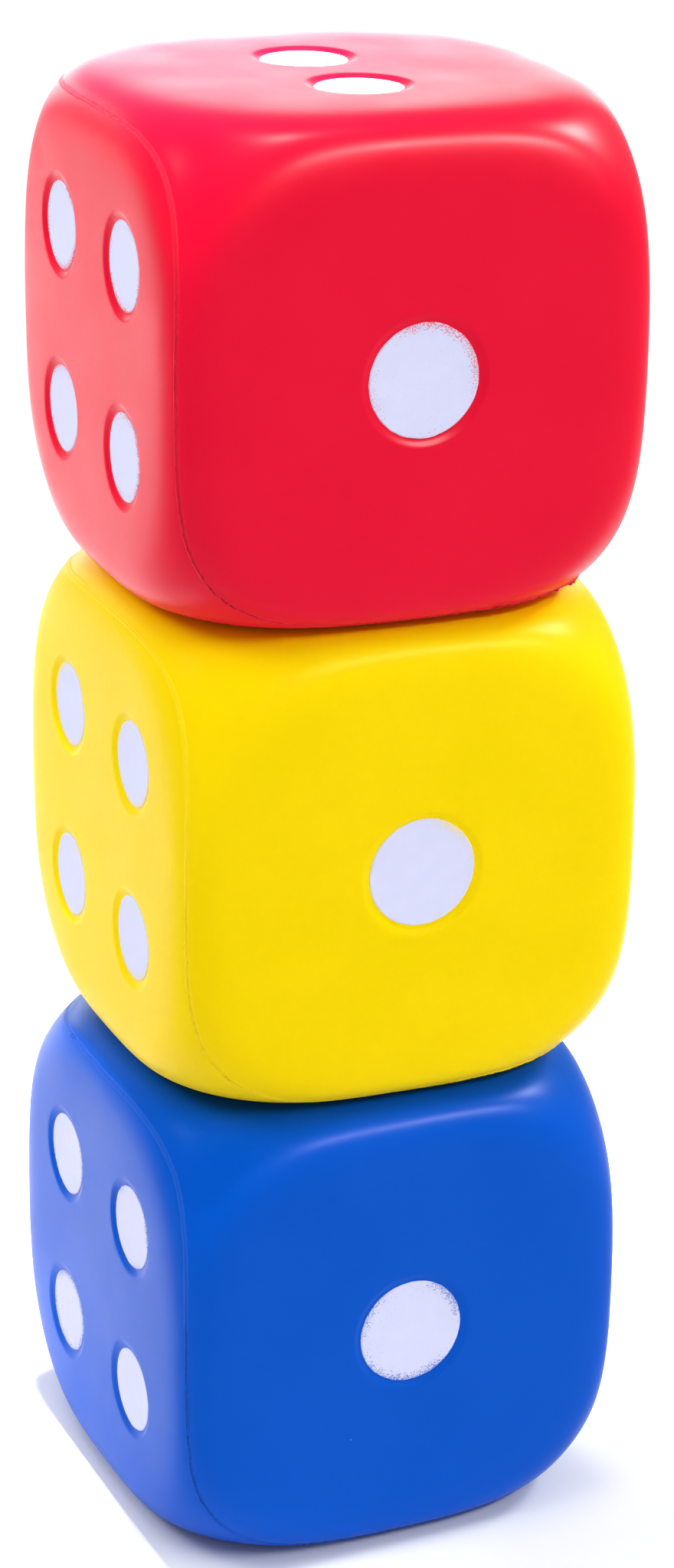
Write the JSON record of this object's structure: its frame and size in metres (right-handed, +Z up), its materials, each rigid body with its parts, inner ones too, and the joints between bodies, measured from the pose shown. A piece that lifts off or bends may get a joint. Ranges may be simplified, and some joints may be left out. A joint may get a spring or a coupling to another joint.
{
  "type": "stack of giant foam yard dice",
  "caption": "Pile of large soft foam dice with rounded corners and white painted pips, for lawn and yard games; each die lifts off the pile.",
  "frame": {"origin": "middle of the pile's footprint, on the ground under the bottom die", "axes": "+Z up through the pile; -Y out of the face with the single pip, the front; -X out of the face with four pips; +Z out of the face with two pips"},
  "size_m": [0.1654, 0.1673, 0.48],
  "materials": {
    "blue_foam": "satin self-skinned polyurethane foam, blue",
    "yellow_foam": "satin self-skinned polyurethane foam, yellow",
    "red_foam": "satin self-skinned polyurethane foam, red",
    "pip_paint": "matte white paint, slightly sprayed"
  },
  "bodies": {
    "bottom_die": {"blue_die": "blue_foam", "blue_pip_one": "pip_paint", "blue_pips_two": "pip_paint", "blue_pips_three": "pip_paint", "blue_pips_four": "pip_paint", "blue_pips_five": "pip_paint", "blue_pips_six": "pip_paint"},
    "middle_die": {"yellow_die": "yellow_foam", "yellow_pip_one": "pip_paint", "yellow_pips_two": "pip_paint", "yellow_pips_three": "pip_paint", "yellow_pips_four": "pip_paint", "yellow_pips_five": "pip_paint", "yellow_pips_six": "pip_paint"},
    "top_die": {"red_die": "red_foam", "red_pip_one": "pip_paint", "red_pips_two": "pip_paint", "red_pips_three": "pip_paint", "red_pips_four": "pip_paint", "red_pips_five": "pip_paint", "red_pips_six": "pip_paint"}
  },
  "joints": [
    {"name": "middle_die_lift", "type": "slide", "parent": "bottom_die", "child": "middle_die", "axis": [0, 0, 1], "range_m": [0, 0.2]},
    {"name": "top_die_lift", "type": "slide", "parent": "middle_die", "child": "top_die", "axis": [0, 0, 1], "range_m": [0, 0.2]}
  ]
}
